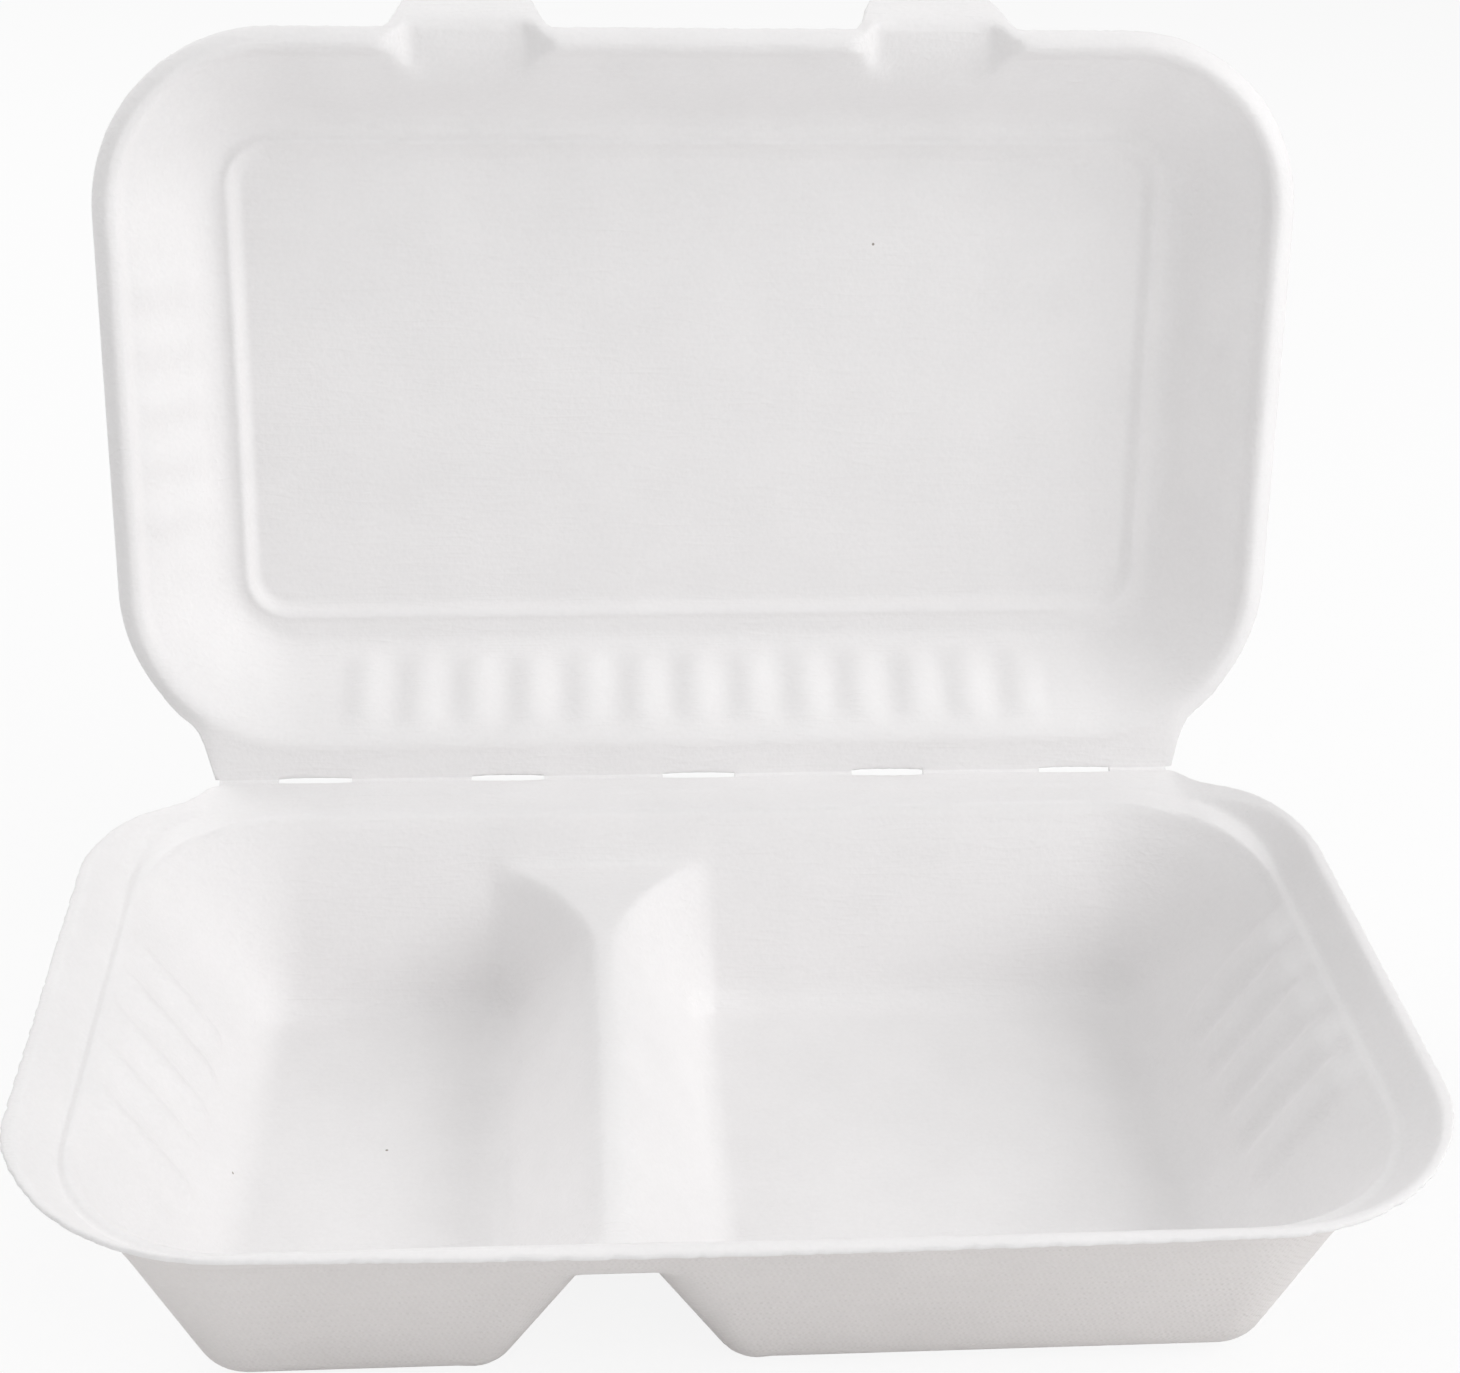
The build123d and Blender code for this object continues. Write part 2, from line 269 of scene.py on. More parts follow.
@dataclass
class PulpSheet:
    """Sheet of pressed pulp with a food face, an outer face and a soft edge.

    Sub-classes give the plan and the height of the food face.
    """

    SLOPE_STEP = 0.2
    EDGE_ROWS = 3

    name: str
    thickness: float
    plan: RoundedRectangle
    edge: RoundedRectangle
    around: int = 600
    edge_bulge: float = 0.4
    edge_fray: float = 0.17
    fray_limits: Span = (-0.4, 0.12)
    fray_zone: Span = (4.0, 10.0)
    depths: Array = field(default_factory=lambda: np.zeros(1))

    def height(self, x: Array, y: Array) -> Array:
        """Height of the food face."""
        raise NotImplementedError

    def plan_shift(self, x: Array, y: Array, depth: float) -> Array:
        """How far a plan point moves across the box at a depth inside the outline."""
        raise NotImplementedError

    def rib_fields(self, place: Array, normal: Array) -> dict[str, Array]:
        """Attributes that place the ribs."""
        raise NotImplementedError

    def placed(self, points: Array) -> Array:
        """Points moved from the press to where the sheet stands."""
        return points

    def near_edge(self, depth: float, reach: float) -> Array:
        """How much a change of the edge still moves at a depth, from 1 down to 0 at its reach."""
        return ease_out(depth, self.depths[0], reach)

    def rings(self) -> tuple[Array, Array]:
        """Plan points of the sheet in rings from its edge inwards.

        Returns:
            Two arrays of ring by point, along and across the box.
        """
        x_rings, y_rings = [], []
        for depth in self.depths:
            x, y = self.edge.inset(depth).points(self.around)
            x_rings.append(x)
            y_rings.append(y + self.plan_shift(x, y, depth))
        return np.array(x_rings), np.array(y_rings)

    def normals(self, x: Array, y: Array) -> Array:
        """Unit normals of the food face.

        Args:
            x: Places along the box.
            y: Places across the box.

        Returns:
            Array with a last axis of three.
        """
        step = self.SLOPE_STEP
        slope_x = (self.height(x + step, y) - self.height(x - step, y)) / (2 * step)
        slope_y = (self.height(x, y + step) - self.height(x, y - step)) / (2 * step)
        normal = np.stack([-slope_x, -slope_y, np.ones_like(x)], axis=-1)
        return normal / np.linalg.norm(normal, axis=-1, keepdims=True)

    def faces(self) -> tuple[list[tuple[int, ...]], list[bool]]:
        """Faces of both sides and of the edge.

        Returns:
            Point numbers of each face, and whether it belongs to the outer face.
        """
        count = self.around
        outer = count * len(self.depths)
        last, edge = outer - count, 2 * outer
        faces: list[tuple[int, ...]] = []
        is_outer: list[bool] = []

        def band(low: int, high: int) -> list[tuple[int, ...]]:
            """Faces between two rings of points."""
            ahead = [*range(1, count), 0]
            return [(low + i, low + j, high + j, high + i) for i, j in enumerate(ahead)]

        def add_pairs(food_faces: list[tuple[int, ...]], outer_faces: list[tuple[int, ...]]) -> None:
            """Adds faces of the two sides in turn."""
            for pair in zip(food_faces, outer_faces):
                faces.extend(pair)
                is_outer.extend((False, True))

        for near in range(0, last, count):
            quads = band(near, near + count)
            add_pairs(quads, [(a + outer, d + outer, c + outer, b + outer) for a, b, c, d in quads])
        loops = [tuple(dict.fromkeys((i, i + 1, (count - i - 1) % count, (count - i) % count)))
                 for i in range(count // 2)]
        add_pairs([tuple(last + i for i in loop) for loop in loops],
                  [tuple(outer + last + i for i in reversed(loop)) for loop in loops])
        strip = [outer, *(edge + row * count for row in range(self.EDGE_ROWS)), 0]
        for low, high in zip(strip, strip[1:]):
            faces.extend(band(low, high))
        is_outer.extend([False] * (len(faces) - len(is_outer)))
        return faces, is_outer

    def edge_rows(self, food: Array, outer: Array) -> Array:
        """Soft rounded rows of points round the sheet's edge.

        Args:
            food: Edge points of the food face.
            outer: Edge points of the outer face.

        Returns:
            Array of row by point.
        """
        middle, half = (food + outer) / 2, (food - outer) / 2
        along = np.roll(middle, -1, axis=0) - np.roll(middle, 1, axis=0)
        out = np.cross(along, half)
        out /= np.linalg.norm(out, axis=-1, keepdims=True)
        fray = np.random.default_rng(self.around).normal(0.0, self.edge_fray, self.around)
        free = ease(np.abs(middle[:, 1] - FOLD.y), *self.fray_zone)
        bulge = out * (self.edge_bulge + np.clip(fray * free, *self.fray_limits))[:, None]
        turns = np.radians(np.linspace(-90.0, 90.0, self.EDGE_ROWS + 2)[1:-1])
        return np.array([middle + half * math.sin(t) + bulge * math.cos(t) for t in turns])

    def build(self, press: "RibPress", ribs: list[RibRow]) -> Object:
        """The sheet as one mesh object, ribs included.

        Args:
            press: Tool that presses the ribs and dresses the two faces.
            ribs: Rows of ribs to press in.

        Returns:
            The finished object.
        """
        x, y = self.rings()
        food = np.stack([x, y, self.height(x, y)], axis=-1)
        normal = self.normals(x, y)
        outer = food - normal * self.thickness
        points = np.concatenate([food, outer, self.edge_rows(food[0], outer[0])])

        def spread(values: Array) -> Array:
            """Values of the food face, given to the points of both faces and of the edge."""
            return np.concatenate([values, values, np.repeat(values[:1], self.EDGE_ROWS, axis=0)])

        faces, is_outer = self.faces()
        mesh = bpy.data.meshes.new(self.name)
        mesh.from_pydata((self.placed(points) * MM).reshape(-1, 3).tolist(), [], faces)
        push = self.placed(spread(normal)) - self.placed(np.zeros((1, 3)))
        store(mesh, "press", "FLOAT_VECTOR", "POINT", push)
        for key, value in self.rib_fields(food, normal).items():
            store(mesh, key, "FLOAT", "POINT", spread(value))
        store(mesh, "outer_face", "BOOLEAN", "FACE", np.array(is_outer))
        mesh.polygons.foreach_set("use_smooth", np.ones(len(mesh.polygons), dtype=bool))
        mesh.update()
        piece = add_object(self.name, mesh)
        for row in ribs:
            press.press(piece, row)
        return piece


class NodeBench:
    """Short calls that lay out the nodes of one tree."""

    def __init__(self, tree: Tree) -> None:
        """Keeps the tree to work on."""
        self.tree = tree

    def find(self, kind: str) -> bpy.types.Node:
        """The node of a type that a new tree already holds."""
        return next(node for node in self.tree.nodes if node.type == kind)

    def node(self, kind: str, feeds: dict | None = None, **settings: object) -> bpy.types.Node:
        """A new node with its settings made and its inputs fed.

        Args:
            kind: Type of the node.
            feeds: Sockets or values, by the name or the number of the input.
            settings: Settings of the node.

        Returns:
            The node.
        """
        made = self.tree.nodes.new(kind)
        for key, value in settings.items():
            setattr(made, key, value)
        for key, value in (feeds or {}).items():
            self.feed(made.inputs[key], value)
        return made

    def feed(self, socket: Socket, value: object) -> None:
        """Links a socket to another, or sets its value."""
        if isinstance(value, Socket):
            self.tree.links.new(value, socket)
        else:
            socket.default_value = value

    def math(self, operation: str, *values: object) -> Socket:
        """Result of one sum.

        Args:
            operation: Name of the sum.
            values: Sockets or numbers that go in.

        Returns:
            The output socket.
        """
        feeds = dict(enumerate(values))
        return self.node("ShaderNodeMath", feeds, operation=operation).outputs[0]

    def vector(self, *values: object) -> Socket:
        """Up to three sockets or numbers as one vector."""
        return self.node("ShaderNodeCombineXYZ", dict(enumerate(values))).outputs[0]

    def ramp(self, value: Socket, low: object, high: object, at_low: float, at_high: float,
             kind: str = "SMOOTHSTEP") -> Socket:
        """A value carried from one range to another.

        Args:
            value: Socket to carry over.
            low: Start of its range.
            high: End of its range.
            at_low: Result at the start.
            at_high: Result at the end.
            kind: How the values between run.

        Returns:
            The output socket.
        """
        feeds = dict(enumerate((value, low, high, at_low, at_high)))
        return self.node("ShaderNodeMapRange", feeds, interpolation_type=kind).outputs[0]


def group_socket(tree: Tree, name: str, side: str, kind: str) -> str:
    """Adds a socket to a group's interface and gives its identifier."""
    made = tree.interface.new_socket(name=name, in_out=side, socket_type=f"NodeSocket{kind}")
    return made.identifier


class NodeTool:
    """Geometry node tree that works on a piece and leaves a plain mesh."""

    NAME = ""
    INPUTS: dict[str, str] = {}

    def __init__(self) -> None:
        """Builds the tree once."""
        self.tree = bpy.data.node_groups.new(self.NAME, "GeometryNodeTree")
        group_socket(self.tree, "Geometry", "INPUT", "Geometry")
        self.ids = {name: group_socket(self.tree, name, "INPUT", kind)
                    for name, kind in self.INPUTS.items()}
        group_socket(self.tree, "Geometry", "OUTPUT", "Geometry")
        bench = NodeBench(self.tree)
        done = self.lay_out(bench, bench.node("NodeGroupInput").outputs)
        bench.node("NodeGroupOutput", {0: done})

    def lay_out(self, bench: NodeBench, given: Sockets) -> Socket:
        """Places the nodes of the tree.

        Args:
            bench: Bench of the tree.
            given: Sockets of the tree's inputs, by name.

        Returns:
            The finished geometry.
        """
        raise NotImplementedError

    @staticmethod
    def dress(bench: NodeBench, geometry: Socket, material: Socket) -> Socket:
        """Makes a geometry real and gives it a material."""
        real = bench.node("GeometryNodeRealizeInstances", {0: geometry}).outputs[0]
        feeds = {"Geometry": real, "Material": material}
        return bench.node("GeometryNodeSetMaterial", feeds).outputs[0]

    def use(self, piece: Object, values: dict[str, object]) -> None:
        """Runs the tree on a piece.

        Args:
            piece: The piece, whose mesh is replaced.
            values: Values of the tree's inputs, by name.
        """
        modifier = piece.modifiers.new(self.NAME, "NODES")
        modifier.node_group = self.tree
        for name, value in values.items():
            modifier[self.ids[name]] = value
        depsgraph = bpy.context.evaluated_depsgraph_get()
        mesh = bpy.data.meshes.new_from_object(piece.evaluated_get(depsgraph),
                                               preserve_all_data_layers=True, depsgraph=depsgraph)
        piece.modifiers.clear()
        mesh.name = piece.name
        piece.data = mesh


class RibPress(NodeTool):
    """Tool that presses a row of ribs into a wall and dresses the sheet's two faces."""

    NAME = "pressed_ribs"
    INPUTS = {
        "Pitch": "Float", "Count": "Float", "Crest Half": "Float", "Foot Half": "Float",
        "Length": "Float", "Fade": "Float", "Height": "Float", "Along Name": "String",
        "Up Name": "String", "Zone Name": "String", "Food Face": "Material", "Outer Face": "Material",
    }

    def __init__(self, finishes: "PulpMaterials") -> None:
        """Keeps the materials of the two faces and builds the tree."""
        super().__init__()
        self.finishes = finishes

    def lay_out(self, bench: NodeBench, given: Sockets) -> Socket:
        """Places the nodes: find the nearest rib, lift the points and dress the faces."""
        def read(name: object, kind: str = "FLOAT") -> Socket:
            """Value of a named attribute."""
            reader = bench.node("GeometryNodeInputNamedAttribute", {"Name": name}, data_type=kind)
            return reader.outputs["Attribute"]

        last = bench.math("SUBTRACT", given["Count"], 1.0)
        step = bench.math("ADD", bench.math("DIVIDE", read(given["Along Name"]), given["Pitch"]),
                          bench.math("MULTIPLY", last, 0.5))
        nearest = bench.math("MINIMUM", bench.math("MAXIMUM", bench.math("ROUND", step), 0.0), last)
        aside = bench.math("MULTIPLY", bench.math("SUBTRACT", step, nearest), given["Pitch"])
        crown = bench.ramp(bench.math("ABSOLUTE", aside), given["Crest Half"],
                           given["Foot Half"], 1.0, 0.0)
        half = bench.math("MULTIPLY", given["Length"], 0.5)
        run = bench.ramp(bench.math("ABSOLUTE", read(given["Up Name"])), half,
                         bench.math("ADD", half, given["Fade"]), 1.0, 0.0)
        lift = bench.math("MULTIPLY", bench.math("MULTIPLY", crown, run),
                          bench.math("MULTIPLY", given["Height"], read(given["Zone Name"])))
        push = bench.node("ShaderNodeVectorMath", {0: read("press", "FLOAT_VECTOR"), "Scale": lift},
                          operation="SCALE")
        move = bench.node("GeometryNodeSetPosition",
                          {"Geometry": given["Geometry"], "Offset": push.outputs[0]})
        dress_outer = bench.node("GeometryNodeSetMaterial", {
            "Geometry": self.dress(bench, move.outputs[0], given["Food Face"]),
            "Selection": read("outer_face", "BOOLEAN"), "Material": given["Outer Face"]})
        return dress_outer.outputs[0]

    def press(self, piece: Object, row: RibRow) -> None:
        """Presses one row into a sheet.

        Args:
            piece: The sheet.
            row: Sizes of the row, in millimetres.
        """
        names = {f"{word} Name": f"{row.name}_{word.lower()}" for word in ("Along", "Up", "Zone")}
        self.use(piece, names | {
            "Pitch": row.pitch, "Count": float(row.count), "Crest Half": row.crest_half,
            "Foot Half": row.foot_half, "Length": row.length, "Fade": row.fade,
            "Height": row.height * MM, "Food Face": self.finishes.food,
            "Outer Face": self.finishes.outer,
        })


@dataclass(frozen=True)
class FoldLine:
    """Fold that joins the tray and the lid, with its slits."""

    LENS_POWER = 3.0
    RAGGED = ((0.12, 3.1, 7.0), (0.10, 7.3, 0.0))

    y: float = 80.3
    z: float = 41.15
    gap: float = 0.3
    half_length: float = 103.3
    run_out: float = 17.0
    slit_count: int = 5
    slit_pitch: float = 41.0
    slit_half: float = 7.9
    slit_halves: tuple[float, ...] = (8.0, 8.2, 7.6, 9.0, 8.6)
    slit_depths: tuple[float, ...] = (0.26, 0.32, 0.25, 0.48, 0.28)
    open_angle: float = 98.4

    @property
    def turn(self) -> float:
        """Angle from the lid in the press to the open lid, in radians."""
        return math.radians(180.0 - self.open_angle)

    def turned(self, along: Number, up: Number) -> Pair:
        """A place measured from the fold on the flat lid, turned up with the lid.

        Args:
            along: Distance from the fold towards the tabs.
            up: Height over the fold.

        Returns:
            Its place across the box and its height.
        """
        return (self.y + along * math.cos(self.turn) - up * math.sin(self.turn),
                self.z + along * math.sin(self.turn) + up * math.cos(self.turn))

    def notch(self, x: Array, lean: float) -> Array:
        """Depth of the slits along the fold.

        Args:
            x: Places along the fold.
            lean: How much deeper a slit is towards one end, as a share of its depth.

        Returns:
            Depth at each place.
        """
        step = x / self.slit_pitch + self.slit_count // 2
        nearest = np.clip(np.round(step), 0, self.slit_count - 1).astype(int)
        aside = (step - nearest) * self.slit_pitch / np.array(self.slit_halves)[nearest]
        lens = np.clip(1.0 - np.abs(aside) ** self.LENS_POWER, 0.0, 1.0) * (1.0 + lean * aside)
        ragged = 1.0
        for size, rate, shift in self.RAGGED:
            ragged = ragged + size * np.sin(x * rate + shift * lean)
        return np.array(self.slit_depths)[nearest] * lens * ragged

    def neck(self, x: Array, reach: float, power: float) -> Array:
        """How much of a rim has become flange, from 1 along the fold to 0 past its ends.

        Args:
            x: Places along the fold.
            reach: How far past the fold's ends the hollow curve of the neck runs.
            power: Exponent that makes the neck start steeper when it is small.

        Returns:
            Share at each place.
        """
        past = np.clip((np.abs(x) - self.half_length) / reach, 0.0, 1.0)
        return (1.0 - past ** power) ** 2

    def run_out_rise(self, x: Array, rise: float) -> Array:
        """Height that a rim has gained past the end of the fold."""
        return np.maximum(np.abs(x) - self.half_length, 0.0) * rise / self.run_out


FOLD = FoldLine()


@dataclass(frozen=True)
class CornerCone:
    """Corner of a compartment, whose radius grows from a point below the floor."""

    growth: float
    point: float
    power: float = 2.0
    stretch: float = 1.0


@dataclass
class Tray(PulpSheet):
    """Lower half: two drafted compartments with a ridge between them and a stepped rim."""

    LEAST = 0.05
    SEARCH = (-60.0, 130.0)
    SEARCH_STEPS = 32
    HALF_STEP = 0.5
    NEARLY_ALL = 0.999
    OUT_OF_REACH = 90.0

    name: str = "tray_sheet"
    thickness: float = 1.1
    plan: RoundedRectangle = RoundedRectangle(-125.0, 125.0, -80.3, 80.3, 41.0)
    edge: RoundedRectangle = plan
    depths: Array = field(default_factory=lambda: runs(
        (0.4, 12.0, 21), (12.8, 37.0, 27), (38.4, 79.5, 26)))
    lip_z: float = 45.0
    lip_width: float = 2.6
    lip_lean: float = 0.12
    lip_round: float = 1.1
    band_slope: float = 1.1
    band_round: float = 0.8
    ledge_z: float = 41.0
    ledge_drop: float = 2.0
    ledge_level_zone: Span = (34.0, 62.0)
    ledge_round: float = 1.1
    groove_drop: float = 1.7
    groove_depth: float = 7.6
    groove_width: float = 1.5
    groove_zone: Span = (60.0, 100.0)
    run_out_y: float = 40.0
    floor_z: float = 1.1
    floor_round: float = 6.5
    wall_x: float = 115.0
    wall_front: float = -70.3
    wall_rear: float = 65.8
    wall_flare: float = 2.4
    flare_left: float = 0.3
    flare_zone: Span = (-60.0, 60.0)
    flare_z: float = 33.0
    end_draft: float = 31.0
    side_draft: float = 19.0
    corner: CornerCone = CornerCone(0.655, -8.4)
    ridge_front: CornerCone = CornerCone(0.21, -25.0)
    ridge_rear: CornerCone = CornerCone(0.8, -5.6, 1.5, 1.4)
    ridge_x: float = -21.5
    ridge_half: float = 3.0
    ridge_z: float = 30.0
    ridge_round: float = 3.5
    crown_round: float = 3.6
    crown_below: float = 3.0
    crown_above: float = 8.0
    rib_z: float = 25.0
    rib_from: float = 80.0
    rib_facing: Span = (0.5, 0.75)
    slit_lean: float = 0.35
    flange_zone: Span = (45.0, 60.0)
    flange_reach: float = 9.0
    neck_reach: float = 5.5
    neck_power: float = 1.0
    trim_left: float = 2.2
    trim_left_run: float = 105.0
    trim_right: float = 1.4
    trim_right_run: float = 120.0
    trim_zone: Span = (40.0, 60.0)
    trim_reach: float = 4.0
    corner_trim: float = 2.4
    corner_trim_x: Span = (96.0, 114.0)
    corner_trim_y: Span = (40.0, 58.0)
    corner_trim_reach: float = 5.0

    def wall_level(self, x: Array, y: Array, x_low: float, x_high: float,
                   ridge_side: int = 0) -> tuple[Array, Array]:
        """Height at which the walls of a space stand over each place.

        Args:
            x: Places along the box.
            y: Places across the box.
            x_low: End wall at the ledge, at the -X end.
            x_high: End wall at the ledge, at the +X end.
            ridge_side: Side of the space, -1 or 1, on which the ridge stands, or 0 for none.

        Returns:
            The heights, and how steeply the walls rise there.
        """
        end, side = (math.tan(math.radians(a)) for a in (self.end_draft, self.side_draft))
        by_ridge = (x - (x_low + x_high) / 2) * ridge_side > 0
        front = y < (self.wall_front + self.wall_rear) / 2
        cones = zip(astuple(self.ridge_front), astuple(self.ridge_rear), astuple(self.corner))
        growth, point, power, stretch = (
            np.where(by_ridge, np.where(front, tight, wide), plain) for tight, wide, plain in cones)

        def outside(z: Array) -> Array:
            """Distance outside the space's outline at a height."""
            drop = z - self.ledge_z
            radius = np.maximum((z - point) * growth, self.LEAST)
            outline = RoundedRectangle(x_low - drop * end, x_high + drop * end,
                                       self.wall_front - drop * side, self.wall_rear + drop * side,
                                       radius, power, stretch)
            return outline.distance(x, y)

        low, high = (np.full_like(x, limit) for limit in self.SEARCH)
        for _ in range(self.SEARCH_STEPS):
            middle = (low + high) / 2
            beyond = outside(middle) > 0
            low, high = np.where(beyond, middle, low), np.where(beyond, high, middle)
        level = (low + high) / 2
        spread = outside(level - self.HALF_STEP) - outside(level + self.HALF_STEP)
        return level, 1.0 / spread.clip(self.LEAST, None)

    def compartment(self, x: Array, y: Array, x_low: float, x_high: float, ridge_side: int) -> Array:
        """Height of one compartment's floor and walls, with a round hollow between them."""
        level, steep = self.wall_level(x, y, x_low, x_high, ridge_side)
        beyond = (level - self.floor_z) / steep
        angle = np.arctan(steep)
        start = self.floor_round * np.tan(angle / 2)
        across = np.clip(beyond + start, 0.0, self.floor_round * self.NEARLY_ALL)
        hollow = self.floor_z + self.floor_round - np.sqrt(self.floor_round ** 2 - across ** 2)
        height = np.where(beyond > start * np.cos(angle), level, hollow)
        return np.where(beyond < -start, self.floor_z, height)

    def basins(self, x: Array, y: Array) -> Array:
        """Height of the two compartments, the ridge between them and the flare at the wall tops."""
        lean = (self.ledge_z - self.ridge_z) * math.tan(math.radians(self.end_draft))
        left = self.compartment(x, y, -self.wall_x, self.ridge_x - self.ridge_half + lean, 1)
        right = self.compartment(x, y, self.ridge_x + self.ridge_half - lean, self.wall_x, -1)
        around, _ = self.wall_level(x, y, -self.wall_x, self.wall_x)
        crown = smooth_max(around, self.ridge_z, self.ridge_round)
        near_crown = ease_out(around, self.ridge_z - self.crown_below, self.ridge_z + self.crown_above)
        inside = smooth_min(np.minimum(left, right), crown, self.LEAST + self.crown_round * near_crown)
        share = self.flare_left + (1.0 - self.flare_left) * ease(x, *self.flare_zone)
        return inside - self.wall_flare * share * ease(inside, self.flare_z, self.ledge_z)

    def height(self, x: Array, y: Array) -> Array:
        """Height of the tray's food face."""
        depth = -self.plan.distance(x, y)
        trough = np.exp(-((depth - self.groove_depth) / self.groove_width) ** 2)
        groove = self.groove_drop * ease(-x, *self.groove_zone) * trough
        ledge = self.ledge_z - (self.ledge_drop + groove) * ease_out(y, *self.ledge_level_zone)
        slope = self.lip_z - (depth - self.lip_width) * self.band_slope
        band = smooth_max(ledge, slope, self.band_round)
        lip = self.lip_z - self.lip_lean * np.maximum(self.lip_width - depth, 0.0)
        rim = smooth_min(band, lip, self.lip_round)
        run_out = self.ledge_z + FOLD.run_out_rise(x, self.lip_z - self.ledge_z)
        flange = np.where(y > self.run_out_y, run_out, self.OUT_OF_REACH)
        rear = smooth_min(rim, flange, self.band_round)
        return smooth_min(self.basins(x, y), rear, self.ledge_round)

    def plan_shift(self, x: Array, y: Array, depth: float) -> Array:
        """Draws the rear edge out to the slit fold and trims the front edge and left rear corner."""
        fold = FOLD.y - FOLD.gap / 2 - self.edge_bulge - FOLD.notch(x, self.slit_lean)
        rear = (ease(y, *self.flange_zone) * FOLD.neck(x, self.neck_reach, self.neck_power)
                * self.near_edge(depth, self.flange_reach))
        edge = self.edge.long_side(x, self.depths[0], 1)
        front = ease(-y, *self.trim_zone) * self.near_edge(depth, self.trim_reach)
        trim = (self.trim_left * np.clip(-x / self.trim_left_run, 0.0, 1.0) ** 2
                + self.trim_right * np.clip(x / self.trim_right_run, 0.0, 1.0) ** 2)
        corner = (ease(-x, *self.corner_trim_x) * ease(y, *self.corner_trim_y)
                  * self.near_edge(depth, self.corner_trim_reach))
        return (fold - edge) * rear + trim * front - self.corner_trim * corner

    def rib_fields(self, place: Array, normal: Array) -> dict[str, Array]:
        """Places the ribs of the two end walls."""
        x, y, z = np.moveaxis(place, -1, 0)
        wall = ease(np.abs(normal[..., 0]), *self.rib_facing)
        up = (z - self.rib_z) / math.cos(math.radians(self.end_draft))
        return (RibRow.fields("right_ribs", y, up, wall * (x > self.rib_from))
                | RibRow.fields("left_ribs", y, up, wall * (x < -self.rib_from)))


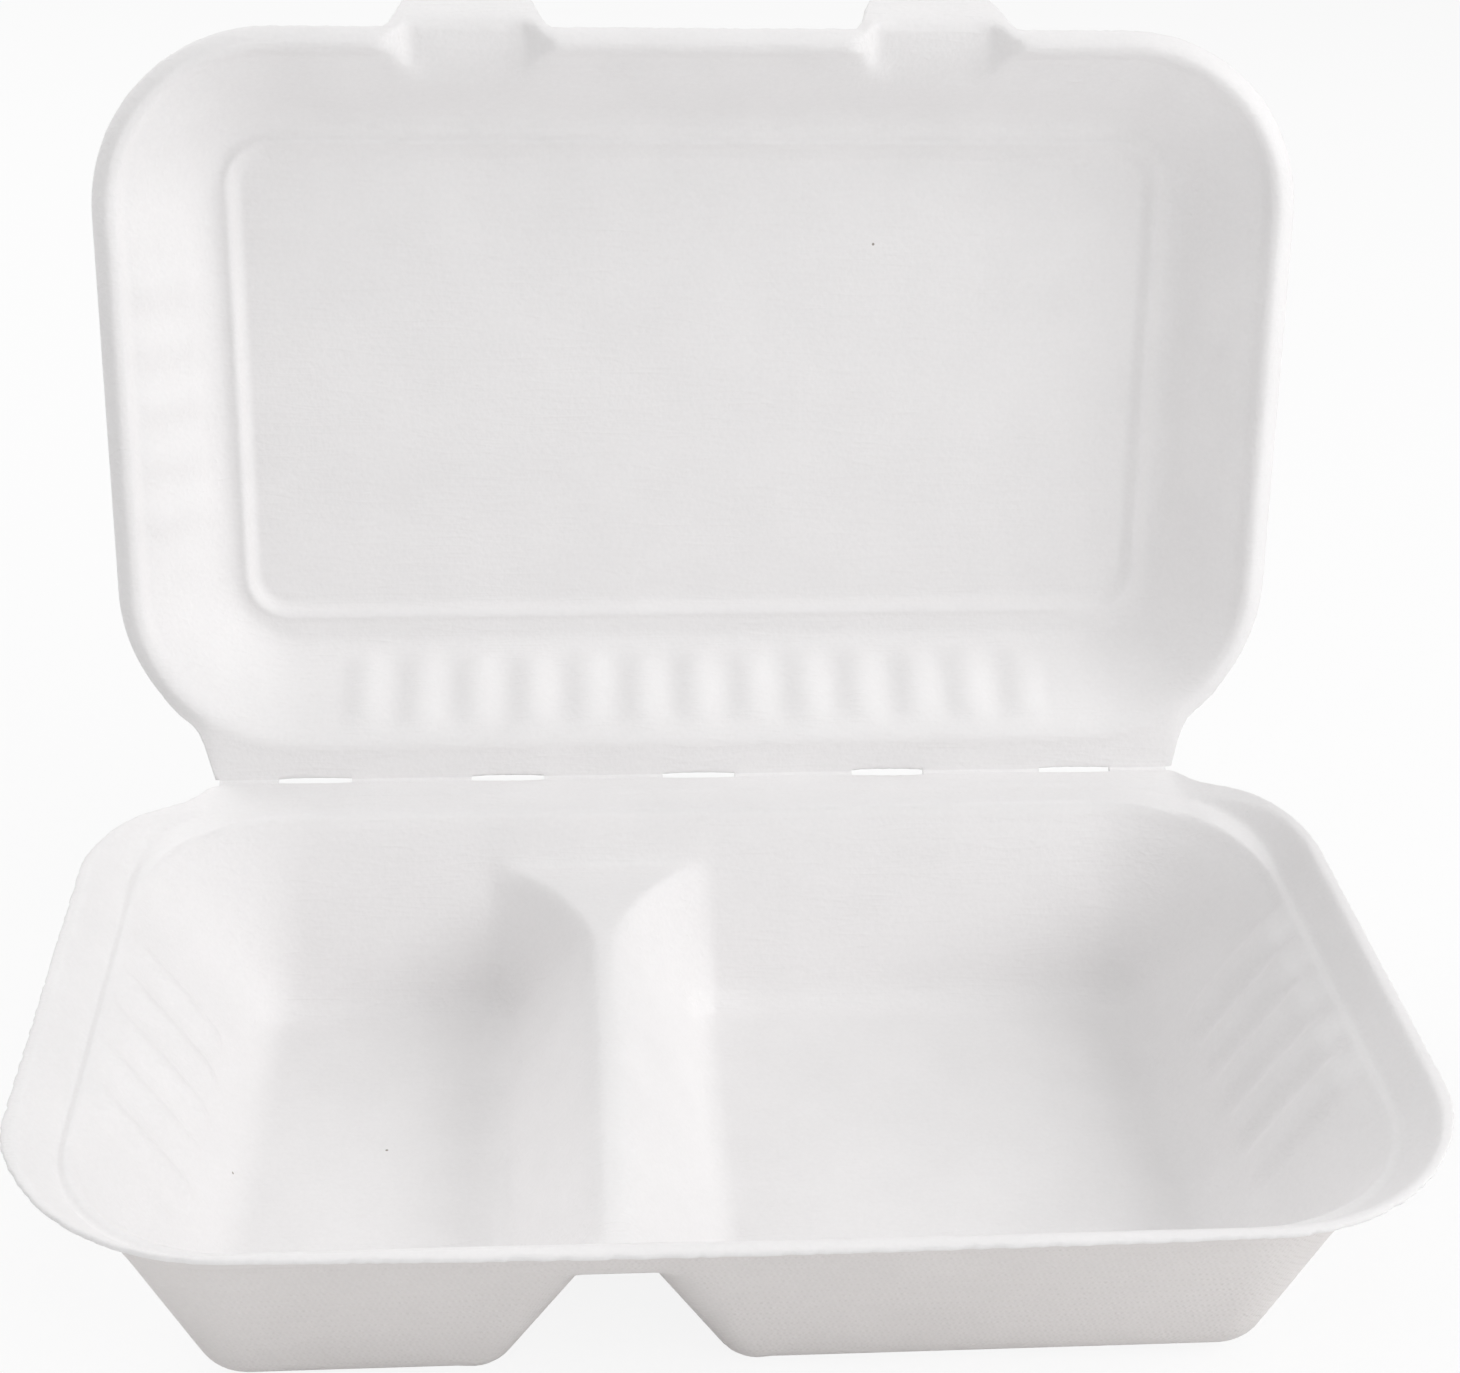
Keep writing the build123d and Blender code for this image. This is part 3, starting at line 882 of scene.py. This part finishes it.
@dataclass
class Lid(PulpSheet):
    """Upper half: nested rim, drafted wall, flat ring, embossed panel and two closing tabs."""

    name: str = "lid_sheet"
    thickness: float = 0.9
    plan: RoundedRectangle = RoundedRectangle(-120.9, 120.9, 84.4, 236.8, 36.9)
    edge: RoundedRectangle = RoundedRectangle(-121.5, 122.0, 84.4, 236.8, 37.4)
    depths: Array = field(default_factory=lambda: runs(
        (0.4, 8.2, 18), (9.0, 22.6, 18), (23.1, 29.0, 15), (30.4, 75.4, 23)))
    crest_z: float = 41.0
    crest_width: float = 0.9
    crest_round: float = 2.0
    rim_run: float = 3.7
    rim_slope: float = 4.0 / 5.5
    rim_curl: float = 2.0
    run_out_y: float = 110.0
    run_out_drop: float = 4.0
    run_out_round: float = 0.8
    shoulder_drop: float = 1.6
    shoulder_zone: Span = (100.0, 125.0)
    shoulder_run: Span = (-0.2, 1.6)
    wall_draft: float = 37.2
    wall_drop: float = 19.8
    wall_bow: float = 0.22
    wall_round: float = 4.0
    ring_width: float = 4.8
    ring_width_back: float = 7.0
    panel_radius: float = 9.0
    panel_step: float = 2.0
    panel_slope: float = 0.9
    panel_slope_less: float = 0.4
    panel_round: float = 0.7
    by_tabs_zone: Span = (-9.0, -1.0)
    bead_height: float = 0.4
    bead_in: float = 0.1
    bead_width: float = 1.0
    bead_more: float = 0.9
    bead_less: float = 0.7
    bead_less_zone: Span = (70.0, 92.0)
    tab_spacing: float = 92.6
    tab_half: float = 11.5
    tab_reach: float = 5.0
    tab_z: float = 36.7
    tab_slope: float = 0.25
    tab_wall: float = 60.0
    tab_zone: Span = (215.0, 226.0)
    tab_round: float = 1.4
    tab_round_more: float = 3.0
    tab_round_zone: Span = (-4.0, 0.5)
    tab_flank: Span = (0.2, 4.6)
    tab_edge_zone: Span = (200.0, 220.0)
    slit_lean: float = -0.2
    flange_zone: Span = (-118.0, -104.0)
    flange_reach: float = 7.0
    neck_reach: float = 3.5
    neck_power: float = 0.8
    rib_depth: float = 5.0
    rib_facing: Span = (0.3, 0.6)

    def beside_tabs(self, x: Array) -> Array:
        """Distance beside the nearer tab, negative within it."""
        return np.abs(np.abs(x) - self.tab_spacing / 2) - self.tab_half

    def hollow(self, x: Array, y: Array, depth: Array) -> Array:
        """Height of the wall, the ring and the panel.

        Args:
            x: Places along the box.
            y: Places across the box.
            depth: How far inside the plan they lie.

        Returns:
            Height at each place.
        """
        ring_z = self.crest_z - self.wall_drop
        top = self.rim_run + self.crest_width
        foot = top + self.wall_drop * math.tan(math.radians(self.wall_draft))
        share = (depth - top) / (foot - top)
        bow = (1.0 - self.wall_bow) * share + self.wall_bow * share * np.abs(share)
        shoulder = self.shoulder_drop * ease(y, *self.shoulder_zone)
        step_in = ease(depth, *(top + run for run in self.shoulder_run))
        wall = self.crest_z - (self.wall_drop - shoulder) * bow - shoulder * step_in
        panel = RoundedRectangle(
            self.plan.x_low + foot + self.ring_width, self.plan.x_high - foot - self.ring_width,
            self.plan.y_low + foot + self.ring_width_back, self.plan.y_high - foot - self.ring_width,
            self.panel_radius)
        step = -panel.distance(x, y)
        by_tabs = ease(y, *(panel.y_high + place for place in self.by_tabs_zone))
        share = 1.0 + self.bead_more * by_tabs - self.bead_less * ease(x, *self.bead_less_zone)
        bead = self.bead_height * share * np.exp(-((step - self.bead_in) / self.bead_width) ** 2)
        fall = ring_z - step * (self.panel_slope - self.panel_slope_less * by_tabs)
        ring = smooth_min(ring_z, fall, self.panel_round)
        floor = smooth_max(ring, ring_z - self.panel_step, self.panel_round) + bead
        return smooth_max(floor, wall, self.wall_round)

    def height(self, x: Array, y: Array) -> Array:
        """Height of the lid's food face as it lies in the press."""
        depth = -self.plan.distance(x, y)
        curl = np.maximum(1.0 - depth / self.rim_run, 0.0) ** self.rim_curl
        rim = self.crest_z - self.rim_run * self.rim_slope * curl
        run_out = self.crest_z - FOLD.run_out_rise(x, self.run_out_drop)
        flange = smooth_max(rim, np.minimum(run_out, self.crest_z), self.run_out_round)
        rim = np.where(y < self.run_out_y, flange, rim)
        body = smooth_min(self.hollow(x, y, depth), rim, self.crest_round)
        aside = self.beside_tabs(x)
        bed = self.tab_z - self.tab_slope * np.maximum(self.plan.y_high - y, 0.0)
        trough = bed + np.maximum(aside, 0.0) + self.tab_wall * ease_out(y, *self.tab_zone)
        soft = self.tab_round + self.tab_round_more * ease_out(aside, *self.tab_round_zone)
        return smooth_min(body, trough, soft)

    def plan_shift(self, x: Array, y: Array, depth: float) -> Array:
        """Draws the edge out to the fold and to the tabs."""
        fold = FOLD.y + FOLD.gap / 2 + self.edge_bulge + FOLD.notch(x, self.slit_lean)
        near_edge = self.near_edge(depth, self.flange_reach)
        rear = ease(-y, *self.flange_zone) * FOLD.neck(x, self.neck_reach, self.neck_power) * near_edge
        edge = self.edge.long_side(x, self.depths[0], -1)
        flank = ease_out(self.beside_tabs(x), *self.tab_flank)
        tab = flank * ease(y, *self.tab_edge_zone) * near_edge
        return (fold - edge) * rear + self.tab_reach * tab

    def rib_fields(self, place: Array, normal: Array) -> dict[str, Array]:
        """Places the ribs of the back wall and of the two end walls."""
        x, y, z = np.moveaxis(place, -1, 0)
        middle_y = self.plan.middle[1]
        up = (z - self.crest_z + self.wall_drop / 2) / math.cos(math.radians(self.wall_draft))
        inner = -self.plan.distance(x, y) > self.rib_depth
        back = ease(normal[..., 1], *self.rib_facing) * (y < middle_y) * inner
        ends = ease(np.abs(normal[..., 0]), *self.rib_facing) * inner
        return (RibRow.fields("back_ribs", x, up, back)
                | RibRow.fields("end_ribs", y - middle_y, up, ends))

    def placed(self, points: Array) -> Array:
        """Points turned up about the fold, from the press to the open lid."""
        y, z = FOLD.turned(points[..., 1] - FOLD.y, points[..., 2] - FOLD.z)
        return np.stack([points[..., 0], y, z], axis=-1)


class WebRow(NodeTool):
    """Tool that sets a row of fold webs side by side."""

    NAME = "fold_webs"
    INPUTS = {"Count": "Int", "Spacing": "Float", "Length": "Float", "Finish": "Material"}

    def lay_out(self, bench: NodeBench, given: Sockets) -> Socket:
        """Places the nodes: a line of points, a web on each and their material."""
        gaps = bench.math("SUBTRACT", given["Count"], 1.0)
        span = bench.math("MULTIPLY", gaps, given["Spacing"])
        line = bench.node("GeometryNodeMeshLine", {
            "Count": given["Count"], "Offset": bench.vector(given["Spacing"]),
            "Start Location": bench.vector(bench.math("MULTIPLY", span, -0.5))}, mode="OFFSET")
        copies = bench.node("GeometryNodeInstanceOnPoints", {
            "Points": line.outputs["Mesh"], "Instance": given["Geometry"],
            "Scale": bench.vector(given["Length"], 1.0, 1.0)})
        return self.dress(bench, copies.outputs[0], given["Finish"])


@dataclass
class FoldWebs:
    """Strips of sheet between the slits, bent round the fold to the open lid."""

    lap: float = 1.1
    bend: float = 0.3
    steps: int = 9
    overlap: float = 0.2
    end_inset: float = 1.2
    tray_top: float = 41.02
    tray_low: float = 39.97
    lid_top: float = -0.13
    lid_low: float = -0.98

    def section(self) -> list[Pair]:
        """Closed outline across the fold, from the tray's flange round to the lid's."""
        outline = [(FOLD.y - self.lap, self.tray_top), (FOLD.y - self.bend, self.tray_top),
                   FOLD.turned(self.bend, self.lid_top), FOLD.turned(self.lap, self.lid_top),
                   FOLD.turned(self.lap, self.lid_low)]
        radius = FOLD.z - self.tray_low
        for index in range(self.steps):
            share = index / (self.steps - 1)
            angle = FOLD.turn * (1.0 - share) - math.pi / 2
            reach = -self.lid_low * (1.0 - share) + radius * share
            outline.append((FOLD.y + reach * math.cos(angle), FOLD.z + reach * math.sin(angle)))
        outline.append((FOLD.y - self.lap, self.tray_low))
        return outline

    def row(self, name: str, count: int, spacing: float, length: float,
            finish: Material) -> Object:
        """One row of equal webs.

        Args:
            name: Name of the piece.
            count: Number of webs.
            spacing: Distance between their middles.
            length: Length of each along the fold.
            finish: Material.

        Returns:
            The finished object.
        """
        outline = self.section()
        total = len(outline)
        points = [(side, y * MM, z * MM) for side in (-0.5, 0.5) for y, z in outline]
        faces = [tuple(range(total)), tuple(reversed(range(total, 2 * total)))]
        for i in range(total):
            j = (i + 1) % total
            faces.append((j, i, i + total, j + total))
        mesh = bpy.data.meshes.new(name)
        mesh.from_pydata(points, [], faces)
        piece = add_object(name, mesh)
        WebRow().use(piece, {"Count": count, "Spacing": spacing * MM, "Length": length * MM,
                             "Finish": finish})
        return piece

    def build(self, finish: Material) -> list[Object]:
        """The webs between the slits and the two at the ends of the fold."""
        inner = FOLD.slit_pitch - 2 * FOLD.slit_half + self.overlap
        last = FOLD.slit_pitch * (FOLD.slit_count // 2) + FOLD.slit_half
        outer = FOLD.half_length - last - self.end_inset
        pieces = [
            self.row("fold_webs", FOLD.slit_count - 1, FOLD.slit_pitch, inner, finish),
            self.row("fold_end_webs", 2, 2 * last + outer, outer + self.overlap, finish),
        ]
        for piece in pieces:
            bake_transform(piece)
        return pieces


class PulpEffects:
    """Shader node groups that the pulp materials share."""

    FIBRE_TURNS = ((0.3, 0.2, 0.5), (1.1, 0.7, 1.9), (2.0, 1.6, 2.9))
    FIBRE_WIDTH = 0.09
    FIBRE_SHARE = 0.4
    FLECKS = ((37.3, 118.2, 147.5), (-89.2, 63.6, 34.6), (-92.9, -5.2, 4.2), (-64.5, 4.6, 1.1),
              (52.0, -36.0, 1.1), (-60.0, 131.0, 105.0), (18.0, -66.5, 22.0), (-78.0, -58.0, 6.0),
              (84.0, 42.0, 0.0))
    FLECK_EDGE = (0.6, 1.2)
    NOISE_MIDDLE = 0.5
    SCREEN_SHARE = 0.2

    def __init__(self) -> None:
        """Builds each group once."""
        self.mottle = self.mottle_group()
        self.fibre = self.fibre_group()
        self.fleck = self.fleck_group()
        self.screen = self.screen_group()

    @staticmethod
    def start(name: str, inputs: tuple[str, ...],
              output: str) -> tuple[NodeBench, Sockets]:
        """A new group with a vector input, number inputs and one number output.

        Args:
            name: Name of the group.
            inputs: Names of its number inputs.
            output: Name of its output.

        Returns:
            The bench and the input sockets.
        """
        tree = bpy.data.node_groups.new(name, "ShaderNodeTree")
        group_socket(tree, "Place", "INPUT", "Vector")
        for item in inputs:
            group_socket(tree, item, "INPUT", "Float")
        group_socket(tree, output, "OUTPUT", "Float")
        bench = NodeBench(tree)
        return bench, bench.node("NodeGroupInput").outputs

    @staticmethod
    def end(bench: NodeBench, value: Socket) -> Tree:
        """The group, with a value on its output."""
        bench.node("NodeGroupOutput", {0: value})
        return bench.tree

    def mottle_group(self) -> Tree:
        """Slow change of tone where the pulp lies thicker or thinner."""
        bench, given = self.start("pulp_mottle", ("Scale", "Strength"), "Tone")
        noise = bench.node("ShaderNodeTexNoise", {
            "Detail": 1.0, "Roughness": 0.6, "Vector": given["Place"], "Scale": given["Scale"]})
        swing = bench.math("SUBTRACT", noise.outputs[0], self.NOISE_MIDDLE)
        return self.end(bench, bench.math("MULTIPLY", swing, given["Strength"]))

    def fibre_group(self) -> Tree:
        """Fine fibres lying in three directions."""
        bench, given = self.start("pulp_fibres", ("Scale", "Stretch"), "Height")
        total: object = 0.0
        for turn in self.FIBRE_TURNS:
            mapping = bench.node("ShaderNodeMapping", {
                "Rotation": turn, "Vector": given["Place"],
                "Scale": bench.vector(given["Stretch"], 1.0, 1.0)})
            noise = bench.node("ShaderNodeTexNoise", {
                "Detail": 0.0, "Vector": mapping.outputs[0], "Scale": given["Scale"]})
            swing = bench.math("SUBTRACT", noise.outputs[0], self.NOISE_MIDDLE)
            strand = bench.ramp(bench.math("ABSOLUTE", swing), 0.0, self.FIBRE_WIDTH, 1.0, 0.0)
            total = bench.math("ADD", total, strand)
        return self.end(bench, bench.math("MULTIPLY", total, self.FIBRE_SHARE))

    def fleck_group(self) -> Tree:
        """Few dark specks of cane."""
        bench, given = self.start("pulp_flecks", ("Size",), "Mask")
        mask: object = 0.0
        for place in self.FLECKS:
            away = bench.node("ShaderNodeVectorMath", {
                0: given["Place"], 1: tuple(value * MM for value in place)}, operation="DISTANCE")
            near, far = (bench.math("MULTIPLY", given["Size"], share) for share in self.FLECK_EDGE)
            spot = bench.ramp(away.outputs["Value"], near, far, 1.0, 0.0)
            mask = bench.math("MAXIMUM", mask, spot)
        return self.end(bench, mask)

    def screen_group(self) -> Tree:
        """Mark that the wire screen of the mould leaves."""
        bench, given = self.start("screen_mark", ("Pitch",), "Height")
        split = bench.node("ShaderNodeSeparateXYZ", {0: given["Place"]}).outputs
        total: object = 0.0
        for first, second in ((0, 1), (0, 2), (1, 2)):
            for sign in ("ADD", "SUBTRACT"):
                across = bench.math(sign, split[first], split[second])
                turns = bench.math("MULTIPLY", across, 2.0 * math.pi)
                wave = bench.math("SINE", bench.math("DIVIDE", turns, given["Pitch"]))
                total = bench.math("ADD", total, wave)
        return self.end(bench, bench.math("MULTIPLY", total, self.SCREEN_SHARE))


def new_material(name: str) -> tuple[Material, NodeBench, bpy.types.Node]:
    """A new material with the bench of its tree and its surface shader."""
    made = bpy.data.materials.new(name)
    made.use_nodes = True
    bench = NodeBench(made.node_tree)
    return made, bench, bench.find("BSDF_PRINCIPLED")


@dataclass(frozen=True)
class PulpFinish:
    """Look of one face of the pulp."""

    CLOUD_SCALE = 55.0
    GRAIN_SCALE = 1100.0
    GRAIN_TONE = 0.8
    GRAIN_ROUGHNESS = 0.03
    FIBRE_SCALE = 420.0
    FIBRE_STRETCH = 0.16
    FLECK_SIZE = 0.0003
    FLECK_STRENGTH = 0.75
    FLECK_COLOUR = (0.16, 0.12, 0.08, 1.0)
    SCREEN_PITCH = 0.0011
    SHINE = 0.25

    name: str
    colour: Triple
    roughness: float
    mottle: float
    fibre_depth: float
    grain_depth: float
    screen_depth: float = 0.0

    def material(self, effects: PulpEffects) -> Material:
        """The finish as a material.

        Args:
            effects: Shared node groups.

        Returns:
            The material.
        """
        made, bench, shader = new_material(self.name)
        place = bench.node("ShaderNodeTexCoord").outputs["Object"]

        def effect(group: Tree, **values: float) -> Socket:
            """Output of a shared group with this finish's own values."""
            feeds = {"Place": place, **values}
            return bench.node("ShaderNodeGroup", feeds, node_tree=group).outputs[0]

        clouds = effect(effects.mottle, Scale=self.CLOUD_SCALE, Strength=self.mottle)
        grain = effect(effects.mottle, Scale=self.GRAIN_SCALE, Strength=1.0)
        fibres = effect(effects.fibre, Scale=self.FIBRE_SCALE, Stretch=self.FIBRE_STRETCH)
        flecks = effect(effects.fleck, Size=self.FLECK_SIZE)
        swing = bench.math("MULTIPLY_ADD", grain, self.mottle * self.GRAIN_TONE, clouds)
        tinted = bench.node("ShaderNodeVectorMath", {
            0: self.colour, "Scale": bench.math("ADD", swing, 1.0)}, operation="SCALE")
        mix = bench.node("ShaderNodeMix", data_type="RGBA")
        colour_a, colour_b, mixed = mix.inputs[6], mix.inputs[7], mix.outputs[2]
        bench.feed(mix.inputs["Factor"], bench.math("MULTIPLY", flecks, self.FLECK_STRENGTH))
        bench.feed(colour_a, tinted.outputs[0])
        bench.feed(colour_b, self.FLECK_COLOUR)
        relief = bench.math("MULTIPLY_ADD", fibres, self.fibre_depth,
                            bench.math("MULTIPLY", grain, self.grain_depth))
        if self.screen_depth > 0.0:
            screen = effect(effects.screen, Pitch=self.SCREEN_PITCH)
            relief = bench.math("MULTIPLY_ADD", screen, self.screen_depth, relief)
        bump = bench.node("ShaderNodeBump", {"Strength": 1.0, "Distance": MM, "Height": relief})
        rough = bench.math("MULTIPLY_ADD", grain, self.GRAIN_ROUGHNESS, self.roughness)
        for socket, value in (("Base Color", mixed), ("Roughness", rough),
                              ("Specular IOR Level", self.SHINE), ("Normal", bump.outputs[0])):
            bench.feed(shader.inputs[socket], value)
        return made


class PulpMaterials:
    """Materials of the two faces of the sheet. The outer face's darker colour is painted shade for the
    outer walls that face away from the lamps; its screen mark and rougher finish are its own.
    """

    def __init__(self) -> None:
        """Builds both from the same effects."""
        effects = PulpEffects()
        self.food = PulpFinish(
            "pulp_pressed_smooth", (0.868, 0.856, 0.857), roughness=0.62, mottle=0.055,
            fibre_depth=0.05, grain_depth=0.07).material(effects)
        # The outer face's darker colour is painted shade, not a different pulp; the screen mark and
        # the higher roughness are real.
        self.outer = PulpFinish(
            "pulp_screen_marked_painted_shade", (0.785, 0.757, 0.748), roughness=0.78, mottle=0.06,
            fibre_depth=0.04, grain_depth=0.08, screen_depth=0.06).material(effects)


@dataclass
class Studio:
    """Camera at the photograph's place, seven soft lamps round the box and a pale table."""

    LAMPS = (
        ("window", (1.1, -0.25, 0.75), 0.7, 6.0),
        ("window_back", (0.95, 0.75, 0.9), 0.7, 2.7),
        ("window_front", (0.85, -0.9, 0.75), 0.7, 4.1),
        ("ceiling", (0.1, -0.1, 1.4), 1.0, 5.2),
        ("front_low", (0.1, -1.3, 0.14), 0.8, 4.7),
        ("left_fill", (-1.1, -0.3, 0.6), 0.8, 2.8),
        ("left_back", (-0.85, 0.8, 0.9), 0.8, 7.8),
    )
    LAMP_TARGET = (0.0, 0.02, 0.07)
    WHITE = (1.0, 1.0, 1.0, 1.0)
    ROOM_LIGHT = 0.1
    TABLE_REACH = 6.0
    TABLE_Z = -0.0002
    TABLE_COLOUR = (0.86, 0.86, 0.86, 1.0)
    TABLE_ROUGHNESS = 0.9
    TABLE_GLOW = 0.88

    sensor_width: float = 36.0
    clip_start: float = 0.01
    focal_pixels: float = 2511.07
    frame_width: float = 1460.0
    frame_height: float = 1373.0
    centre: Pair = (729.53, 689.99)
    place: Triple = (-30.97, -391.24, 307.06)
    pitch: float = 27.41
    yaw: float = 4.51
    roll: float = 1.37

    def camera(self) -> None:
        """Sets up the camera."""
        data = bpy.data.cameras.new("view")
        data.sensor_fit = "HORIZONTAL"
        data.sensor_width = self.sensor_width
        data.lens = self.focal_pixels / self.frame_width * data.sensor_width
        data.shift_x = (self.frame_width / 2 - self.centre[0]) / self.frame_width
        data.shift_y = (self.centre[1] - self.frame_height / 2) / self.frame_width
        data.clip_start = self.clip_start
        yaw, pitch, roll = (math.radians(v) for v in (self.yaw, self.pitch, self.roll))
        forward = Vector((math.sin(yaw) * math.cos(pitch), math.cos(yaw) * math.cos(pitch),
                          -math.sin(pitch)))
        right = Vector((math.cos(yaw), -math.sin(yaw), 0.0))
        up = right.cross(forward)
        tilted_right = right * math.cos(roll) + up * math.sin(roll)
        tilted_up = up * math.cos(roll) - right * math.sin(roll)
        turn = Matrix((tilted_right, tilted_up, -forward)).transposed().to_4x4()
        camera = add_object("view", data)
        camera.matrix_world = Matrix.Translation(Vector(self.place) * MM) @ turn
        bpy.context.scene.camera = camera

    def lamp(self, name: str, place: Triple, size: float, power: float) -> None:
        """Adds one soft square lamp that faces the box.

        Args:
            name: Name of the lamp.
            place: Where it hangs, in metres.
            size: Side of the square, in metres.
            power: Power in watts.
        """
        data = bpy.data.lights.new(name, "AREA")
        data.size = size
        data.energy = power
        aim = (Vector(self.LAMP_TARGET) - Vector(place)).to_track_quat("-Z", "Y")
        add_object(name, data).matrix_world = Matrix.Translation(place) @ aim.to_matrix().to_4x4()

    def light(self) -> None:
        """Hangs the lamps and makes the white surroundings."""
        for lamp in self.LAMPS:
            self.lamp(*lamp)
        world = bpy.data.worlds.new("white_room")
        bpy.context.scene.world = world
        world.use_nodes = True
        bench = NodeBench(world.node_tree)
        background = bench.find("BACKGROUND")
        path = bench.node("ShaderNodeLightPath").outputs
        mirrored = bench.math("MAXIMUM", path["Is Glossy Ray"], path["Is Transmission Ray"])
        seen = bench.math("MAXIMUM", path["Is Camera Ray"], mirrored)
        strength = bench.ramp(seen, 0.0, 1.0, self.ROOM_LIGHT, 1.0, kind="LINEAR")
        bench.feed(background.inputs["Color"], self.WHITE)
        bench.feed(background.inputs["Strength"], strength)

    def table(self) -> None:
        """Lays the pale table under the box."""
        mesh = bpy.data.meshes.new("table")
        corners = ((-1, -1), (1, -1), (1, 1), (-1, 1))
        mesh.from_pydata([(x * self.TABLE_REACH, y * self.TABLE_REACH, self.TABLE_Z)
                          for x, y in corners], [], [(0, 1, 2, 3)])
        table = add_object("table", mesh)
        made, bench, shader = new_material("pale_table")
        bench.feed(shader.inputs["Base Color"], self.TABLE_COLOUR)
        bench.feed(shader.inputs["Roughness"], self.TABLE_ROUGHNESS)
        seen = bench.node("ShaderNodeLightPath").outputs["Is Camera Ray"]
        mix = bench.node("ShaderNodeMixShader", {
            0: bench.math("MULTIPLY", seen, self.TABLE_GLOW), 1: shader.outputs[0],
            2: bench.node("ShaderNodeEmission").outputs[0]})
        bench.feed(bench.find("OUTPUT_MATERIAL").inputs["Surface"], mix.outputs[0])
        mesh.materials.append(made)

    def build(self) -> None:
        """Sets up camera, light and table."""
        self.camera()
        self.light()
        self.table()
        bpy.context.scene.view_settings.view_transform = "Standard"


def main() -> None:
    """Builds the box and the studio."""
    logging.basicConfig(level=logging.INFO)
    finishes = PulpMaterials()
    press = RibPress(finishes)
    tray = Tray().build(press, [
        RibRow("right_ribs", count=5, length=21.0, height=1.7, crest_half=1.6, foot_half=5.9),
        RibRow("left_ribs", count=5, length=21.0, height=1.5, crest_half=0.6, foot_half=4.6)])
    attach(tray, "tray")
    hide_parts("tray")
    LOG.info("tray: %d faces", len(tray.data.polygons))
    lid = Lid().build(press, [
        RibRow("back_ribs", count=13, length=10.0, height=1.15),
        RibRow("end_ribs", count=5, length=10.0, height=0.75)])
    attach(lid, "lid")
    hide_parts("lid")
    LOG.info("lid: %d faces", len(lid.data.polygons))
    for web in FoldWebs().build(finishes.food):
        LOG.info("%s: %d faces", web.name, len(web.data.polygons))
    Studio().build()


if __name__ == "__main__":
    main()
